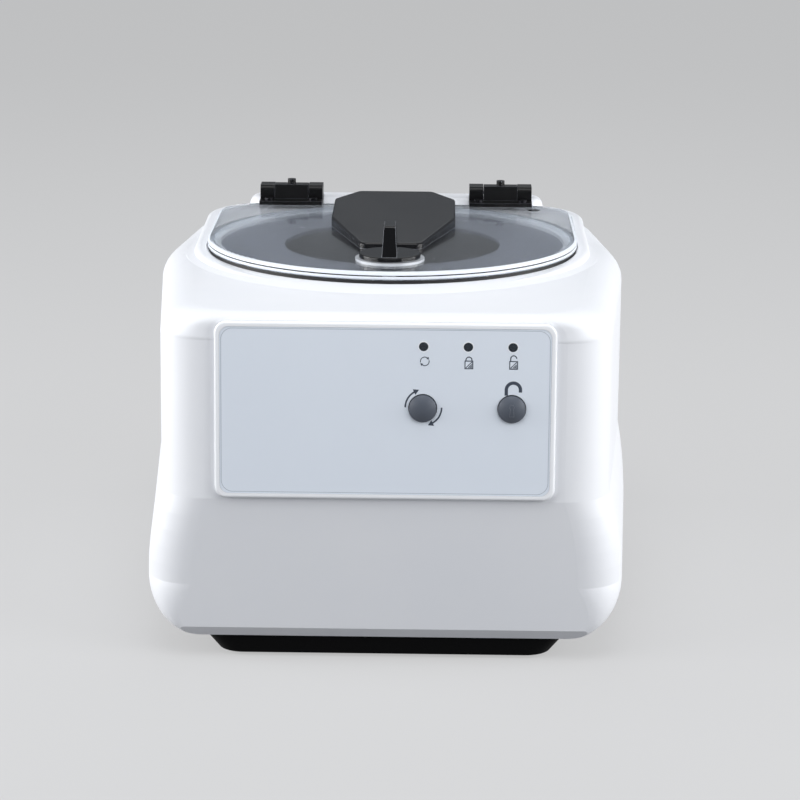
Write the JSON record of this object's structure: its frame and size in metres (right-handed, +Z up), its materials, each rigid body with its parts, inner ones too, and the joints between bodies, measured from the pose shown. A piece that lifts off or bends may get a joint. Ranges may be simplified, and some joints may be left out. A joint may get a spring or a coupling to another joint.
{
  "type": "clinical centrifuge",
  "caption": "Bench-top clinical centrifuge with a clear hinged lid, a quarter-turn latch knob, an angled rotor with tube shields, and a front control panel.",
  "frame": {"origin": "centre of the overall box, on the surface that the feet stand on", "axes": "+Z up, +X to the right of someone facing the control panel, the control panel faces -Y"},
  "size_m": [0.2874, 0.3637, 0.229],
  "materials": {
    "housing_white": "satin moulded plastic",
    "base_black": "fine texture",
    "foot_rubber": "matte",
    "seal_rubber": "matte",
    "bezel_white": "satin",
    "overlay_grey": "printed film",
    "lens_dark": "gloss",
    "lamp_resin": "clear resin",
    "button_grey": "satin",
    "clear_lid": "clear acrylic, polished edge",
    "hinge_black": "satin",
    "hinge_screw": "blackened",
    "cover_black": "gloss",
    "knob_black": "gloss",
    "ring_pale": "satin",
    "guard_grey": "satin",
    "bowl_steel": "drawn",
    "rotor_alloy": "machined",
    "shield_steel": "polished",
    "zinc_steel": "zinc plated",
    "bearing_steel": "ground",
    "solenoid_steel": "plated",
    "motor_paint": "satin",
    "motor_alloy": "cast",
    "coil_copper": "enamelled wire on steel",
    "circuit_board": "solder mask",
    "switch_black": "satin",
    "pin_brass": "nickel plated"
  },
  "bodies": {
    "cabinet": {"housing": "housing_white", "base_pan": "base_black", "rubber_feet": "foot_rubber", "base_screws": "zinc_steel", "panel_bezel": "bezel_white", "panel_overlay": "overlay_grey", "indicator_lenses": "lens_dark", "indicator_lamps": "lamp_resin", "control_board": "circuit_board", "board_screws": "zinc_steel", "button_switches": "switch_black", "chamber_bowl": "bowl_steel", "bowl_seal": "seal_rubber", "rim_gasket": "seal_rubber", "guard_plate": "guard_grey", "latch_strike": "zinc_steel", "lock_solenoid": "solenoid_steel", "lid_sensor": "switch_black", "motor_isolators": "foot_rubber", "motor_mount_plate": "zinc_steel", "motor_screws": "zinc_steel", "motor_can": "motor_paint", "motor_end_bell": "motor_alloy", "motor_stator": "coil_copper", "motor_bearings": "bearing_steel", "rear_plate": "motor_alloy", "rear_plate_screws": "zinc_steel", "power_inlet": "switch_black", "inlet_pins": "pin_brass", "fuse_holder": "switch_black", "transformer": "coil_copper", "power_board": "circuit_board", "hinge_bracket_left": "hinge_black", "hinge_bracket_right": "hinge_black", "hinge_bracket_screws": "hinge_screw", "hinge_pins": "bearing_steel"},
    "lid": {"lid_panel": "clear_lid", "lid_magnet": "bearing_steel", "hinge_leaf_left": "hinge_black", "hinge_leaf_right": "hinge_black", "leaf_screws": "hinge_screw", "latch_cover": "cover_black", "knob_ring": "ring_pale", "spindle_bush": "ring_pale"},
    "latch": {"latch_knob": "knob_black", "latch_spindle": "bearing_steel", "latch_bar": "bearing_steel"},
    "lock_bolt": {"lock_bolt": "bearing_steel"},
    "start_button": {"start_button": "button_grey"},
    "unlock_button": {"unlock_button": "button_grey"},
    "rotor": {"rotor": "rotor_alloy", "rotor_nut": "rotor_alloy", "motor_shaft": "bearing_steel", "motor_armature": "coil_copper", "tube_shield_1": "shield_steel", "tube_shield_2": "shield_steel", "tube_shield_3": "shield_steel", "tube_shield_4": "shield_steel", "tube_shield_5": "shield_steel", "tube_shield_6": "shield_steel"}
  },
  "joints": [
    {"name": "lid_hinge", "type": "hinge", "parent": "cabinet", "child": "lid", "pos_m": [0, 0.126, 0.2148], "axis": [-1, 0, 0], "range_deg": [0, 100]},
    {"name": "latch_turn", "type": "hinge", "parent": "lid", "child": "latch", "pos_m": [0, -0.07, 0.21], "axis": [0, 0, 1], "range_deg": [0, 90]},
    {"name": "bolt_slide", "type": "slide", "parent": "cabinet", "child": "lock_bolt", "axis": [0, 1, 0], "range_m": [0, 0.014], "stiffness_N_per_m": 60, "springref_m": -0.005},
    {"name": "start_press", "type": "slide", "parent": "cabinet", "child": "start_button", "axis": [0, 0.9982, -0.0593], "range_m": [0, 0.0015], "stiffness_N_per_m": 300, "springref_m": -0.001},
    {"name": "unlock_press", "type": "slide", "parent": "cabinet", "child": "unlock_button", "axis": [0, 0.9982, -0.0593], "range_m": [0, 0.0015], "stiffness_N_per_m": 300, "springref_m": -0.001},
    {"name": "rotor_spin", "type": "hinge", "parent": "cabinet", "child": "rotor", "pos_m": [0, 0.005, 0.15], "axis": [0, 0, 1], "continuous": true}
  ]
}
